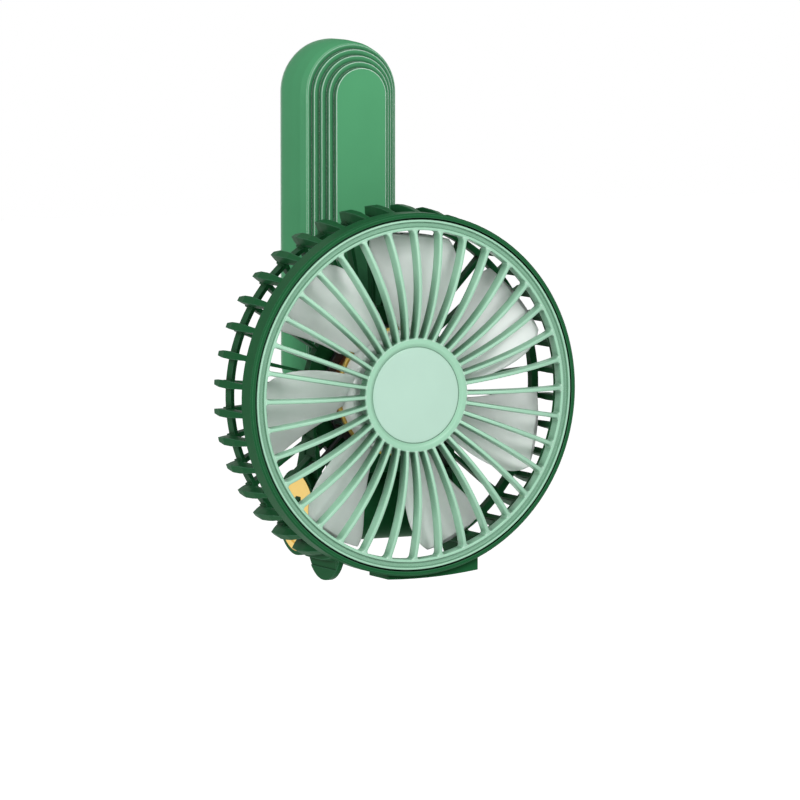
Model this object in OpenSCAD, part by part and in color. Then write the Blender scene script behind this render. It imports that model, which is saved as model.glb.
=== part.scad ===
// Folding rechargeable hand fan: round head, finned rear cage, motor and
// impeller, and a capsule handle that folds up behind the head.
// +Z up, the fan blows towards -Y, the hinge runs along X.

/* [Head] */
// Outside radius of the cage band
band_r = 52.5; // [49:0.5:57]
// Wall of the cage band
band_wall = 1.4; // [1:0.1:1.8]
// Depth of the cage band
band_depth = 5.9; // [5.2:0.1:7]
// Distance from the front of the grille rim to the front of the band
band_setback = 0.2; // [0.1:0.1:0.5]
// Chamfer on the band's front edge
band_chamfer = 0.5; // [0.2:0.1:0.8]
// Width of the shoulder inside the band that the grille rests on
shoulder_w = 4.3; // [3.4:0.1:5]

/* [Front grille] */
// Number of ribs
rib_count = 36; // [28:1:40]
// Width of a rib
rib_w = 1.4; // [1:0.1:1.6]
// Depth of the ribs and of the rim
rib_depth = 3.6; // [3.2:0.1:4]
// Bow of the ribs between hub ring and rim
rib_bow = 3.0; // [1:0.1:4]
// Height of the hub ring in front of the rim
hub_rise = 0.7; // [0.3:0.1:1.2]
// Outside radius of the hub ring
hub_r = 16.4; // [14:0.1:18]
// Width of the hub ring round the badge
hub_ring_w = 2.3; // [1.5:0.1:3]
// Thickness of the badge
badge_t = 0.8; // [0.5:0.1:1.2]
// How deep the badge lies in the hub ring
badge_sink = 0.5; // [0:0.1:0.8]
// Width of the bead round the rim
bead_w = 0.8; // [0.6:0.1:1.2]
// Width of the channel inside the bead
channel_w = 0.6; // [0.4:0.1:0.8]
// Depth of the channel
channel_depth = 0.6; // [0.3:0.1:1]
// Width of the flat lip inside the channel
lip_w = 1.0; // [0.8:0.1:1.4]

/* [Rear cage] */
// Number of fin places round the band
fin_count = 40; // [36:2:44]
// Thickness of a rear rib where it joins its fin
fin_t = 1.6; // [1.3:0.1:2.4]
// Thickness of a fin at its thickest place
leaf_t = 2.2; // [1.8:0.1:2.6]
// How far the fin tips stand out past the band
fin_flare = 1.5; // [0.5:0.1:2.5]
// Depth of the fin tips behind the grille rim
cage_depth = 23; // [22.5:0.5:25]
// Radial width of a fin where it joins the band
fin_root_w = 2.1; // [1.6:0.1:2.6]
// Radial width of the fin tips
fin_tip_w = 2.5; // [1.5:0.1:3]
// Depth of the rear ribs
rear_rib_t = 2.8; // [2:0.1:3.2]
// Outside radius of the motor plate
plate_r = 24; // [22:0.5:24]
// Thickness of the motor plate
plate_t = 3.0; // [2.6:0.1:3.4]
// Depth of the ring that ties the fins together
ring_depth = 4.2; // [3:0.1:5]
// Radial width of that ring
ring_w = 1.6; // [1.2:0.1:2]

/* [Hinge] */
// Distance of the hinge axis above the bottom of the band
hinge_inset = 17; // [16:0.5:17.5]
// Distance of the hinge axis behind the motor plate
hinge_setback = 2.4; // [2:0.1:3]
// Half the space between the two ears
ear_in = 21; // [20:0.5:22]
// Thickness of an ear
ear_t = 1.6; // [1.4:0.1:2]
// Radius of the round foot of an ear
lobe_r = 11.2; // [10.8:0.1:11.8]
// Radius of the hinge boss on an ear
boss_r = 12.5; // [12:0.1:13]
// Thickness of the hinge boss outside the ear
boss_t = 2.0; // [1.6:0.1:2.4]
// Radius of the hinge cap
cap_r = 11.3; // [9:0.1:11.4]
// Radius of the hinge pins
pin_r = 2.5; // [2:0.1:3]
// Radius of the hinge barrel
barrel_r = 9; // [8:0.1:9.4]
// Half the width of the neck between barrel and grip
neck_half = 10; // [8:0.1:11]

/* [Handle] */
// Half the width of the grip
grip_r = 15.4; // [14.8:0.1:16]
// Depth of the grip from its raised panel to its back
grip_depth = 27.6; // [26.8:0.1:29]
// How far the cell reaches into the grip's round top
cell_reach = 1.2; // [0:0.1:2]
// Height of the lower round end's centre above the hinge
grip_rise = 41.5; // [41:0.1:46]
// Gap between the motor plate and the raised panel
grip_gap = 9.2; // [8.5:0.1:11]
// Wall of the shells
shell_wall = 2.0; // [1.6:0.1:2.2]
// Height of each step round the raised panel
step_h = 1.6; // [1.2:0.1:1.7]
// Width of each step
step_w = 1.61; // [1.2:0.01:1.7]
// Rounding of the back edge
back_round = 7; // [5:0.1:8]
// Depth of the rear shell
rear_depth = 5.5; // [4.5:0.1:6]

/* [Motor] */
// Outside radius of the motor's end plates
motor_r = 18.6; // [18.4:0.1:19]
// Thickness of the motor base
base_t = 1.6; // [1.2:0.1:2]
// Thickness of the motor's front bracket
bracket_t = 1.2; // [1:0.1:1.4]
// Height of the coils
coil_h = 6.8; // [6.4:0.1:7.2]
// Outside radius of the coils
coil_r = 16.2; // [15.6:0.1:16.3]
// Inside radius of the coils
coil_in = 10; // [9.8:0.1:10.4]
// Number of coils
coil_count = 12; // [9:3:12]
// Radius of the shaft
shaft_r = 1.0; // [0.8:0.05:1.2]
// Outside radius of a bearing
bearing_r = 3.0; // [2.8:0.1:3.4]
// Length of a bearing
bearing_h = 2.4; // [2:0.1:2.5]
// Radius of the rotor magnet
magnet_r = 9.2; // [8:0.1:9.4]
// Radius of the motor's rear cover
cover_r = 11; // [9:0.1:13]
// Height of the motor's rear cover
cover_h = 4.9; // [4.5:0.1:5.5]

/* [Impeller] */
// Number of blades
blade_count = 7; // [5:1:9]
// Depth of the blades from front to back
blade_depth = 8.8; // [7:0.1:9]
// Turn of a blade from front to back, in degrees
blade_turn = 36; // [25:1:40]
// Thickness of a blade measured round the axis
blade_t = 3.0; // [2:0.1:3.6]
// Outside radius of the impeller hub
cup_r = 18; // [16.5:0.1:18.4]
// Depth of the impeller hub
cup_depth = 7.6; // [7:0.1:8]
// Wall of the impeller hub
cup_wall = 1.2; // [0.8:0.1:1.5]

/* [Electronics] */
// Radius of the battery cell
cell_r = 9.2; // [9:0.05:9.25]
// Length of the battery cell
cell_len = 65.2; // [62:0.1:66]
// Length of the circuit board
board_len = 18; // [17.6:0.1:18.5]
// Half the width of the circuit board
board_half = 11.5; // [10.8:0.1:12]
// Radius of the power button
button_r = 4.8; // [3.5:0.1:5.5]
// How far the button stands proud of the grip
button_proud = 0.8; // [0.7:0.1:1.2]
// Travel of the button
button_travel = 0.6; // [0.3:0.1:0.6]
// Number of charge lights
light_count = 4; // [3:1:5]

/* [Fixings] */
// Radius of the motor bolts
bolt_r = 0.9; // [0.7:0.05:1]
// Radius of the handle screws
screw_r = 0.95; // [0.8:0.05:1.1]
// Radius of the handle screws' heads
screw_head_r = 1.9; // [1.6:0.1:2]
// Radius of the pin that holds the arm in the grip
neck_pin_r = 1.0; // [0.8:0.05:1.2]

/* [Fits] */
// Running clearance of the hinge pins, on the radius
hinge_clear = 0.05; // [0.02:0.01:0.1]
// Running clearance of the shaft and the seats of pressed parts, on the radius
seat_clear = 0.02; // [0.01:0.01:0.05]
// Clearance of the button in its bore, on the radius
button_clear = 0.1; // [0.08:0.01:0.1]
// Gap between the grille rim and the band
rim_gap = 0.5; // [0.2:0.1:0.6]
// Gap beside and behind turning parts
run_gap = 0.4; // [0.3:0.05:0.6]

/* [Hidden] */
$fn = 72;

// Overrun of every cut, and the bite by which joined shapes overlap
over = 1;
weld = 0.3;
room_gap = 1.0;

// Places are measured from the centre of the grille rim: X to the right,
// d backwards along the fan axis and z upwards.
grille_r = band_r - band_wall - rim_gap;
bead_in = grille_r - bead_w;
channel_slope = weld;
channel_out = bead_in - channel_slope;
channel_in = channel_out - channel_w;
lip_out = channel_in - channel_slope;
lip_in = lip_out - lip_w;
bead_edge = 0.4;
recess_r = hub_r - hub_ring_w;
badge_gap = 0.2;
recess_floor = badge_sink + badge_t - hub_rise;
slot_corner = 1;
slot_start = hub_r - badge_gap;
dimple_r = 0.35;
bow_steps = 6;

band_bore = band_r - band_wall;
band_back = band_setback + band_depth;
shoulder_in = band_r - shoulder_w;
fin_in = band_r - fin_root_w;
fin_tip = band_r + fin_flare;
fin_heel = 0.6;
fin_root = 2;
leaf_shares = [0.72, 1, 0.86, 0.4];
leaf_reach_shares = [0, 0.5, 0.78, 1.1];
notch_turn = 20;
strip_turn = 66;
ring_inset = 0.7;
seat_w = 0.4;
ring_r = fin_in - seat_w;
ring_back = cage_depth - ring_inset;
plate_inset = 0.4;
plate_front = cage_depth - plate_inset;
plate_back = plate_front + plate_t;

hinge_d = plate_back + hinge_setback;
hinge_z = hinge_inset - band_r;
notch_gap = 2.0;
notch_top = hinge_z + barrel_r + notch_gap;
lobe_inset = 9.8;
lobe_z = lobe_inset - band_r;
lobe_d = hinge_d - 1.1 * boss_r + weld / 6;
ear_top = -plate_r / 4;
pocket_floor = 0.4;
pocket_x = ear_in + ear_t + pocket_floor;
boss_x = ear_in + ear_t + boss_t;
cap_gap = 0.1;
pin_head_r = 1.6 * pin_r;
pin_head_t = 1.2;
pin_x = pocket_x - pin_head_t;
pin_len = 12.8;
washer_t = 0.6;
washer_r = 7;
washer_gap = 0.2;
barrel_x = ear_in - washer_t - 2 * washer_gap;
axis_z = lobe_r - lobe_z;

sweep_r = 158;
sweep_drop = 1.1;
sweep_left = 7.4;
sweep_front = 3;
sweep_back = 15;

grip_front = plate_back + grip_gap;
step_count = 4;
core_front = grip_front + step_count * step_h;
grip_back = grip_front + grip_depth;
grip_bot = hinge_z + grip_rise;
board_drop = 4;
grip_span = board_len - board_drop + room_gap + cell_len - cell_reach;
grip_top = grip_bot + grip_span;
grip_draft = 0.9;
grip_bevel = 0.4;
split_d = grip_back - rear_depth;
cell_gap = 2.0;
cell_d = grip_front + shell_wall + cell_gap + cell_r;
pocket_gap = 0.33;
core_half = sqrt(pow(cell_r, 2) - pow(cell_d - core_front - shell_wall, 2)) + pocket_gap;
front_y = -(grip_back + button_proud - hub_rise / 2 - rib_bow) / 2;

base_front = plate_front - base_t;
coil_front = base_front - coil_h;
bracket_back = coil_front - run_gap;
bracket_front = bracket_back - bracket_t;
core_inset = 1.2;
core_wall = 0.6;
bolt_inset = 1.2;
bolt_ring = motor_r - bolt_inset;
bolt_head_t = 1.3;
pocket_seat = 1.0;
bearing_wall = 2;
bearing_front_d = bracket_front - pocket_seat + seat_clear * 5;
bearing_rear_d = plate_front + pocket_seat;
boss_back = plate_back + bracket_t + seat_w;
cover_wall = 1.0;
clip_t = 0.5;
clip_r = 2.2 * shaft_r;
shaft_end = bearing_rear_d + bearing_h + 3 * seat_w;

cup_back = bracket_front - run_gap;
cup_front = cup_back - cup_depth;
cup_face = 1.5;
stub_r = 3.5;
stub_back = bracket_front - pocket_seat - run_gap;
tip_gap = 1.9;
blade_tip = shoulder_in - tip_gap;
blade_front = cup_front + badge_gap;
room_r = blade_tip + room_gap;
room_back = blade_front + blade_depth + room_gap + seat_w;

board_t = 1.2;
board_inset = 0.7;
board_back = split_d - board_inset;
board_front = board_back - board_t;
board_low = grip_bot - board_drop;
board_top = board_low + board_len;
cell_low = board_top + room_gap;
cell_top = cell_low + cell_len;
tab_t = 0.3;
tab_r = 6.5;
lead_r = 0.7;
lead_side = 10.6;
lead_back = 2;
lead_tail = 4;
post_r = 1.5;
post_x = 9.5;
post_z = board_low + 2.5 * room_gap;
usb_w = 9;
usb_h = 3.2;
usb_len = 7;
usb_wall = 0.35;
usb_sink = 0.1;
post_room = 1;
usb_z = grip_bot + post_room;
button_z = grip_bot + 6 * room_gap;
button_skirt = 1.0;
pocket_left = 0.6;
button_low = split_d + 4 * pocket_left;
skirt_t = 0.9;
switch_half = 2.25;
switch_t = 1.8;
plunger_r = 1.2;
light_pitch = 3.2;
light_r = 0.8;
light_z = grip_bot - 2 * room_gap;
lens_half = 6;
lens_low = 0.8;
chip_half = 0.8;
chip_t = 0.7;

neck_front = hinge_d - 1.7 * room_gap;
neck_back = hinge_d + 10 * room_gap;
neck_gap = 0.05;
cover_room = 6.5;
neck_kink = min(hinge_z + 2 * barrel_r, -cover_r - cover_room);
tongue_half = 4.5;
tongue_d0 = core_front + 3 * room_gap;
tongue_d1 = board_front - badge_gap;
tongue_top = grip_bot - 5.5 * room_gap;
neck_pin_d = core_front + 8.1 * room_gap;
neck_pin_z = tongue_top - 3 * room_gap;
block_t = 3;
screw_places = [[0, grip_top + 8.2 * room_gap], [7.6 * room_gap, grip_bot - 7.8 * room_gap],
    [-7.6 * room_gap, grip_bot - 7.8 * room_gap]];
screw_boss_r = 2.2;
screw_head_t = 1.4;
screw_len = 8.6;
screw_seat = 2.4;
wire_r = 0.6;
wire_clear = 0.05;

// Moves what is drawn about the rim centre to its place above the ground.
module head_frame() {
    translate([0, front_y, axis_z]) children();
}

// Turns a profile of [radius, d] points about the fan axis.
module spun(points) {
    rotate([-90, 0, 0]) rotate_extrude() polygon(points);
}

// A disc of radius r from depth d0 to d1 at [x, z].
module disc(r, d0, d1, x = 0, z = 0) {
    translate([x, d0, z]) rotate([-90, 0, 0]) cylinder(r = r, h = d1 - d0);
}

// A rod of radius r along X from x0 to x1.
module rod(r, x0, x1, d, z) {
    translate([x0, d, z]) rotate([0, 90, 0]) cylinder(r = r, h = x1 - x0);
}

// A box between two corners.
module block(low, high) {
    translate(low) cube(high - low);
}

// Draws a front view outline from depth d0 to d1.
module front_shape(d0, d1) {
    translate([0, d1, 0]) rotate([90, 0, 0]) linear_extrude(d1 - d0) children();
}

// Draws a side view outline of [d, z] points from x0 to x1.
module side_shape(x0, x1) {
    translate([x0, 0, 0]) rotate([90, 0, 90]) linear_extrude(x1 - x0) children();
}

// Draws its children on the right, and mirrored on the left.
module both_sides() {
    children();
    mirror([1, 0, 0]) children();
}

// A round bar between two points.
module bar(a, b, r) {
    v = b - a;
    span = norm(v);
    translate(a) rotate([0, acos(v[2] / span), atan2(v[1], v[0])]) cylinder(r = r, h = span);
}

// Distance of the ribs' front in front of the rim, at share u of the way out.
function crown(u) = hub_rise * (1 - u) + rib_bow * 4 * u * (1 - u);

function rib_front(shift) = [for (i = [0:bow_steps])
    [hub_r + i / bow_steps * (lip_in - hub_r), shift - crown(i / bow_steps)]];

function reversed(list) = [for (i = [len(list) - 1:-1:0]) list[i]];

// One slot between two ribs, with a round inner end and round corners.
module slot_outline() {
    half = 180 / rib_count;
    near = (slot_start - rib_w / 2) / (1 - sin(half));
    near_r = near * sin(half) - rib_w / 2;
    side = rib_w / 2 + slot_corner;
    s = (lip_in - slot_corner - side * sin(half)) / cos(half);
    far = [lip_in - slot_corner, s * sin(half) - side * cos(half)];
    edge = [s * cos(half) + rib_w / 2 * sin(half), s * sin(half) - rib_w / 2 * cos(half)];
    foot = [near - near_r * sin(half), near_r * cos(half)];
    polygon([foot, edge, [lip_in, far[1]], [lip_in, -far[1]], [edge[0], -edge[1]],
        [foot[0], -foot[1]]]);
    translate([near, 0]) circle(r = near_r);
    translate(far) circle(r = slot_corner);
    translate([far[0], -far[1]]) circle(r = slot_corner);
}

module front_grille() color([0.62, 0.85, 0.74]) head_frame() {
    difference() {
        spun(concat([[0, -hub_rise]], rib_front(0), [[lip_out, 0],
            [channel_in, channel_depth], [channel_out, channel_depth],
            [bead_in, 0], [grille_r - bead_edge, 0], [grille_r, bead_edge],
            [grille_r, rib_depth]], reversed(rib_front(rib_depth)),
            [[0, rib_depth - hub_rise]]));
        for (i = [0:rib_count - 1])
            rotate([0, -(i + 0.5) * 360 / rib_count, 0])
                front_shape(-rib_bow - hub_rise - over, rib_depth + over) slot_outline();
        disc(recess_r, -hub_rise - over, recess_floor);
        for (a = [80, 90])
            disc(dimple_r, 0, channel_depth + bead_edge,
                (channel_in + channel_w / 2) * cos(a), (channel_in + channel_w / 2) * sin(a));
    }
}

module hub_badge() color([0.66, 0.87, 0.77]) head_frame()
    disc(recess_r - badge_gap, recess_floor - badge_t, recess_floor);

flare_shares = [0.7, 1, 0.6];
reach_shares = [0.35, 0.72, 1];

// The cage as a dish turned about the fan axis, before the slots are cut.
module cage_dish() {
    heel = [ring_r - ring_w - weld, cage_depth + fin_heel / 3];
    inner = [heel[0] - 3 * weld, heel[1] - rear_rib_t];
    spun(concat([[band_bore, band_setback], [band_r - band_chamfer, band_setback],
        [band_r, band_setback + band_chamfer], [band_r, band_back]],
        [for (i = [0:2]) [band_r + fin_flare * flare_shares[i],
            band_back + (cage_depth - band_back) * reach_shares[i]]],
        [[fin_tip - fin_tip_w, cage_depth + fin_heel], heel, [plate_r - weld, plate_back],
        [bearing_r + bearing_wall, plate_back], [bearing_r + bearing_wall, boss_back],
        [bearing_r + seat_clear, boss_back], [bearing_r + seat_clear, bearing_rear_d],
        [shaft_r + pocket_left, bearing_rear_d], [shaft_r + pocket_left, plate_front],
        [plate_r - room_gap, plate_front], inner,
        [fin_in, inner[1] - 0.6 * (fin_in - inner[0])], [fin_in, band_back],
        [shoulder_in, band_back], [shoulder_in, rib_depth], [band_bore, rib_depth]]));
}

// One gap between two fins, which leaves the ring that ties them together.
// Its outer part narrows and widens again, so that each fin is a leaf.
module fin_gap() {
    half_pitch = PI * band_r / fin_count;
    function wall(k) = [band_back + fin_root / 10 + (cage_depth - band_back) * leaf_reach_shares[k],
        half_pitch - leaf_t / 2 * leaf_shares[k]];
    span = 360 / fin_count - fin_t / band_r * 180 / PI;
    root = band_back + fin_root / 10;
    rotate([-90, 0, 0]) rotate([0, 0, -span / 2]) rotate_extrude(angle = span)
        polygon([[plate_r, plate_front - 2 * over], [ring_r - ring_w, ring_back - ring_depth - over],
            [ring_r - ring_w, ring_back], [ring_r, ring_back], [ring_r, root],
            [fin_in + 2 * weld, root], [fin_in + 2 * weld, plate_back + over],
            [plate_r, plate_back + over]]);
    side_shape(ring_r + weld / 2, fin_tip + over)
        polygon(concat([for (k = [0:3]) wall(k)], [for (k = [3:-1:0]) [wall(k)[0], -wall(k)[1]]]));
}

module ear() {
    side_shape(ear_in, ear_in + ear_t) {
        translate([lobe_d, lobe_z]) circle(r = lobe_r);
        polygon([[plate_front + weld, ear_top], [plate_back - weld, ear_top],
            [hinge_d + 0.6 * boss_r, hinge_z + 0.3 * boss_r],
            [hinge_d, hinge_z], [lobe_d, lobe_z],
            [lobe_d + 0.1 * lobe_r, lobe_z + 0.8 * lobe_r]]);
    }
}

// The curved skirt under the band that joins the right ear.
module skirt() {
    front_shape(sweep_front, sweep_back) difference() {
        intersection() {
            translate([0, sweep_r - band_r - sweep_drop]) circle(r = sweep_r);
            translate([-sweep_left, -band_r - lobe_r])
                square([sweep_left + ear_in + ear_t / 2, 2 * lobe_r]);
        }
        circle(r = band_r - band_wall / 2);
    }
}

// The lead from the motor to the left ear, as a bar of radius r.
module lead_run(r) {
    start = (motor_r - 1.5 * room_gap) * cos(45);
    end = ear_in + ear_t / 2;
    a = [-start, base_front + base_t / 2, -start];
    b = [-end, base_front + base_t / 2, -end];
    bar(a, b, r);
}

// The strips beside the hinge that the gaps between the fins leave whole.
module ear_strips() {
    both_sides() {
        block([ear_in + weld, band_back, hinge_z - boss_r - lobe_r],
            [ear_in + ear_t - weld, plate_back + 2 * over, 0]);
        block([ear_in + weld, band_back, hinge_z - boss_r + weld],
            [boss_x - weld, plate_back + 2 * over, hinge_z + boss_r - weld]);
    }
}

module rear_cage() color([0.16, 0.38, 0.24]) head_frame() {
    difference() {
        union() {
            difference() {
                cage_dish();
                block([-ear_in - weld, band_back + fin_root / 20, -band_r - lobe_r],
                    [ear_in + weld, hinge_d + boss_r, notch_top]);
            }
            difference() {
                both_sides() ear();
                disc(room_r, -over, room_back);
                disc(band_bore + weld, -over, rib_depth);
            }
            both_sides() rod(boss_r, ear_in, boss_x, hinge_d, hinge_z);
            skirt();
        }
        both_sides() {
            rod(cap_r + cap_gap, pocket_x, boss_x + 2 * over, hinge_d, hinge_z);
            rod(pin_head_r + cap_gap, pin_x, pocket_x + over, hinge_d, hinge_z);
            rod(pin_r + seat_clear, ear_in - over, pocket_x, hinge_d, hinge_z);
        }
        for (a = [90, 210, 330])
            disc(bolt_r + seat_clear, plate_front - over, plate_back + over,
                bolt_ring * cos(a), bolt_ring * sin(a));
        lead_run(wire_r + wire_clear);
        for (i = [0:fin_count - 1])
            if (abs(i * 360 / fin_count - 270) > notch_turn)
                difference() {
                    rotate([0, -i * 360 / fin_count, 0]) fin_gap();
                    if (abs(i * 360 / fin_count - 270) < strip_turn) ear_strips();
                }
    }
}

// One blade outline: a strip that runs out from the hub and sweeps round.
sweep_share = 0.42;

module blade_outline() {
    n = 8;
    root = cup_r - seat_w;
    function lean(r) = -sweep_share * (r - root) * (r - root) / blade_tip;
    function side(t) = [for (i = [0:n]) let (r = root + (blade_tip - root) * i / n,
        a = (lean(r) + t) / r * 180 / PI) [r * cos(a), r * sin(a)]];
    polygon(concat(side(-blade_t / 2), reversed(side(blade_t / 2))));
}

module impeller() color([0.86, 0.90, 0.88]) head_frame() {
    difference() {
        union() {
            spun([[0, cup_front], [cup_r - bead_edge, cup_front], [cup_r, cup_front + bead_edge],
                [cup_r, cup_back], [cup_r - cup_wall, cup_back],
                [cup_r - cup_wall, cup_front + cup_face], [stub_r, cup_front + cup_face],
                [stub_r, stub_back], [0, stub_back]]);
            for (i = [0:blade_count - 1])
                translate([0, blade_front, 0]) rotate([-90, (i + 0.5) * 360 / blade_count, 0])
                    linear_extrude(blade_depth, twist = blade_turn, slices = 8, $fn = 20)
                        rotate(blade_turn / 2) blade_outline();
        }
        disc(shaft_r + seat_clear, cup_front + weld, stub_back + over);
        disc(motor_r + run_gap, cup_back + weld / 3, room_back);
    }
}

module motor_shaft() color([0.80, 0.81, 0.83]) head_frame()
    disc(shaft_r, cup_front + weld, shaft_end);

module rotor_magnet() color([0.24, 0.24, 0.26]) head_frame()
    difference() {
        disc(magnet_r, coil_front + core_inset, base_front - core_inset);
        disc(shaft_r + seat_clear, coil_front, base_front);
    }

module shaft_clip() color([0.72, 0.73, 0.75]) head_frame()
    difference() {
        disc(clip_r, bearing_rear_d + bearing_h + badge_gap, bearing_rear_d + bearing_h + badge_gap + clip_t);
        disc(shaft_r + seat_clear, bearing_rear_d, shaft_end);
    }

module motor_base() color([0.20, 0.21, 0.22]) head_frame()
    difference() {
        disc(motor_r, base_front, plate_front);
        disc(shaft_r + room_gap, base_front - over, plate_front + over);
        for (a = [90, 210, 330])
            disc(bolt_r + seat_clear, base_front - over, plate_front + over,
                bolt_ring * cos(a), bolt_ring * sin(a));
        lead_run(wire_r + wire_clear);
    }

module motor_front_bracket() color([0.83, 0.66, 0.28]) head_frame()
    difference() {
        union() {
            disc(motor_r, bracket_front, bracket_back);
            disc(bearing_r + bearing_wall - seat_w, bracket_front - pocket_seat, bracket_back + seat_w);
        }
        disc(bearing_r + seat_clear, bracket_front - pocket_seat + seat_clear * 5, bracket_back + over);
        disc(shaft_r + seat_w, bracket_front - pocket_seat - over, bracket_back);
        for (a = [90, 210, 330])
            disc(bolt_r + seat_clear, bracket_front + seat_w, bracket_back + over,
                bolt_ring * cos(a), bolt_ring * sin(a));
    }

module sleeve(d0) {
    difference() {
        disc(bearing_r, d0, d0 + bearing_h);
        disc(shaft_r + seat_clear, d0 - over, d0 + bearing_h + over);
    }
}

module front_bearing() color([0.75, 0.58, 0.33]) head_frame() sleeve(bearing_front_d);

module rear_bearing() color([0.75, 0.58, 0.33]) head_frame() sleeve(bearing_rear_d);

module stator_core() color([0.45, 0.46, 0.48]) head_frame()
    difference() {
        disc(coil_r - core_wall, coil_front + core_inset, base_front - core_inset);
        disc(coil_in + room_gap, coil_front, base_front);
    }

// Each coil is a pad wound over the core ring: a wedge of a ring, open where
// the core passes through it.
module stator_windings() color([0.72, 0.38, 0.18]) head_frame() {
    gap_share = 0.28;
    reach = 360 / coil_count * (1 - gap_share);
    for (i = [0:coil_count - 1])
        rotate([0, -i * 360 / coil_count, 0])
            difference() {
                rotate([-90, 0, 0]) translate([0, 0, coil_front]) rotate([0, 0, -reach / 2])
                    rotate_extrude(angle = reach) translate([coil_in, 0])
                        square([coil_r - coil_in, coil_h]);
                rotate([-90, 0, 0]) rotate([0, 0, -reach]) rotate_extrude(angle = 2 * reach)
                    translate([coil_in + room_gap - seat_clear, coil_front + core_inset - seat_clear])
                        square([coil_r - core_wall - coil_in - room_gap + 2 * seat_clear,
                            coil_h - 2 * core_inset + 2 * seat_clear]);
            }
}

module motor_bolts() color([0.62, 0.63, 0.65]) head_frame()
    for (a = [90, 210, 330])
        translate([bolt_ring * cos(a), 0, bolt_ring * sin(a)]) difference() {
            union() {
                disc(bolt_r, bracket_front + seat_w, plate_back + weld);
                disc(2 * bolt_r, plate_back, plate_back + bolt_head_t);
            }
            block([-bolt_r, plate_back + bolt_head_t - seat_w, -bolt_r / 4],
                [bolt_r, plate_back + bolt_head_t + over, bolt_r / 4]);
            block([-bolt_r / 4, plate_back + bolt_head_t - seat_w, -bolt_r],
                [bolt_r / 4, plate_back + bolt_head_t + over, bolt_r]);
        }

module motor_rear_cap() color([0.14, 0.32, 0.21]) head_frame()
    spun([[0, plate_back + cover_h - cover_wall],
        [cover_r - cover_wall - bead_edge, plate_back + cover_h - cover_wall],
        [cover_r - cover_wall, plate_back], [cover_r, plate_back], [cover_r, plate_back + cover_h - room_gap],
        [cover_r - room_gap, plate_back + cover_h], [0, plate_back + cover_h]]);

module motor_lead() color([0.12, 0.12, 0.13]) head_frame() lead_run(wire_r);

module hinge_pin() {
    rod(pin_r, pin_x + weld - pin_len, pin_x + weld, hinge_d, hinge_z);
    rod(pin_head_r, pin_x, pocket_x, hinge_d, hinge_z);
}

module hinge_pin_left() color([0.68, 0.69, 0.71]) head_frame() mirror([1, 0, 0]) hinge_pin();

module hinge_pin_right() color([0.68, 0.69, 0.71]) head_frame() hinge_pin();

// A disc with a shallow dish turned into its face.
module hinge_cap() {
    difference() {
        rod(cap_r, pocket_x, boss_x, hinge_d, hinge_z);
        translate([boss_x - seat_w, hinge_d, hinge_z]) rotate([0, 90, 0])
            cylinder(r = cap_r - 2 * room_gap, h = seat_w + over);
    }
}

module hinge_cap_left() color([0.86, 0.68, 0.25]) head_frame() mirror([1, 0, 0]) hinge_cap();

module hinge_cap_right() color([0.86, 0.68, 0.25]) head_frame() hinge_cap();

module friction_washers() color([0.30, 0.31, 0.32]) head_frame() both_sides()
    difference() {
        rod(washer_r, barrel_x + washer_gap, barrel_x + washer_gap + washer_t, hinge_d, hinge_z);
        rod(pin_r + cap_gap, barrel_x, ear_in, hinge_d, hinge_z);
    }

// Flank of the grip, grown by g: [half width, d] points from front to back.
function grip_profile(g) = concat([[0, core_front - g],
    [grip_r - grip_draft - grip_bevel + g, core_front - g],
    [grip_r - grip_draft + g, core_front + grip_bevel - g],
    [grip_r - grip_draft / 3 + g, core_front + 2 * step_h],
    [grip_r + g, grip_back - back_round - 3 * shell_wall]],
    [for (a = [0:15:90]) [grip_r - back_round + (back_round + g) * cos(a),
        grip_back - back_round + (back_round + g) * sin(a)]],
    [[0, grip_back + g]]);

// A capsule whose flank follows a profile, with round ends at low and high.
module capsule(points, low, high) {
    translate([0, 0, low]) spun(points);
    translate([0, 0, high]) spun(points);
    translate([0, 0, low]) linear_extrude(high - low)
        polygon(concat(points, reversed([for (p = points) [-p[0], p[1]]])));
}

module flat_capsule(r, d0, d1, low, high) {
    disc(r, d0, d1, 0, low);
    disc(r, d0, d1, 0, high);
    block([-r, d0, low], [r, d1, high]);
}

step_rise_share = 0.08;
module grip_outer(g) {
    capsule(grip_profile(g), grip_bot, grip_top);
    for (k = [1:step_count])
        flat_capsule(grip_r - grip_draft - k * step_w + g, core_front - k * step_h - g,
            core_front - (k - 1) * step_h + weld,
            grip_bot + k * step_w * step_rise_share, grip_top - k * step_w * step_rise_share);
}

module hinge_arm() color([0.20, 0.42, 0.28]) head_frame()
    difference() {
        union() {
            rod(barrel_r, -barrel_x, barrel_x, hinge_d, hinge_z);
            difference() {
                side_shape(-neck_half, neck_half)
                    polygon([[neck_front, hinge_z], [neck_front, neck_kink],
                        [core_front + bead_edge, grip_bot - 1.1 * grip_r],
                        [core_front + bead_edge, grip_bot - 0.7 * grip_r],
                        [grip_back - 0.4 * grip_r, grip_bot - 0.7 * grip_r],
                        [grip_back - 0.4 * grip_r, grip_bot - 1.13 * grip_r],
                        [neck_back, hinge_z + 2.05 * barrel_r], [neck_back, hinge_z]]);
                grip_outer(neck_gap);
            }
            block([-tongue_half, tongue_d0, grip_bot - 1.2 * grip_r],
                [tongue_half, tongue_d1, tongue_top]);
        }
        rod(pin_r + hinge_clear, -barrel_x - over, barrel_x + over, hinge_d, hinge_z);
        rod(neck_pin_r + seat_clear, -tongue_half - over, tongue_half + over, neck_pin_d, neck_pin_z);
    }

module neck_pin() color([0.66, 0.67, 0.69]) head_frame()
    rod(neck_pin_r, -tongue_half - 0.6 * block_t, tongue_half + 0.6 * block_t, neck_pin_d, neck_pin_z);

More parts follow.
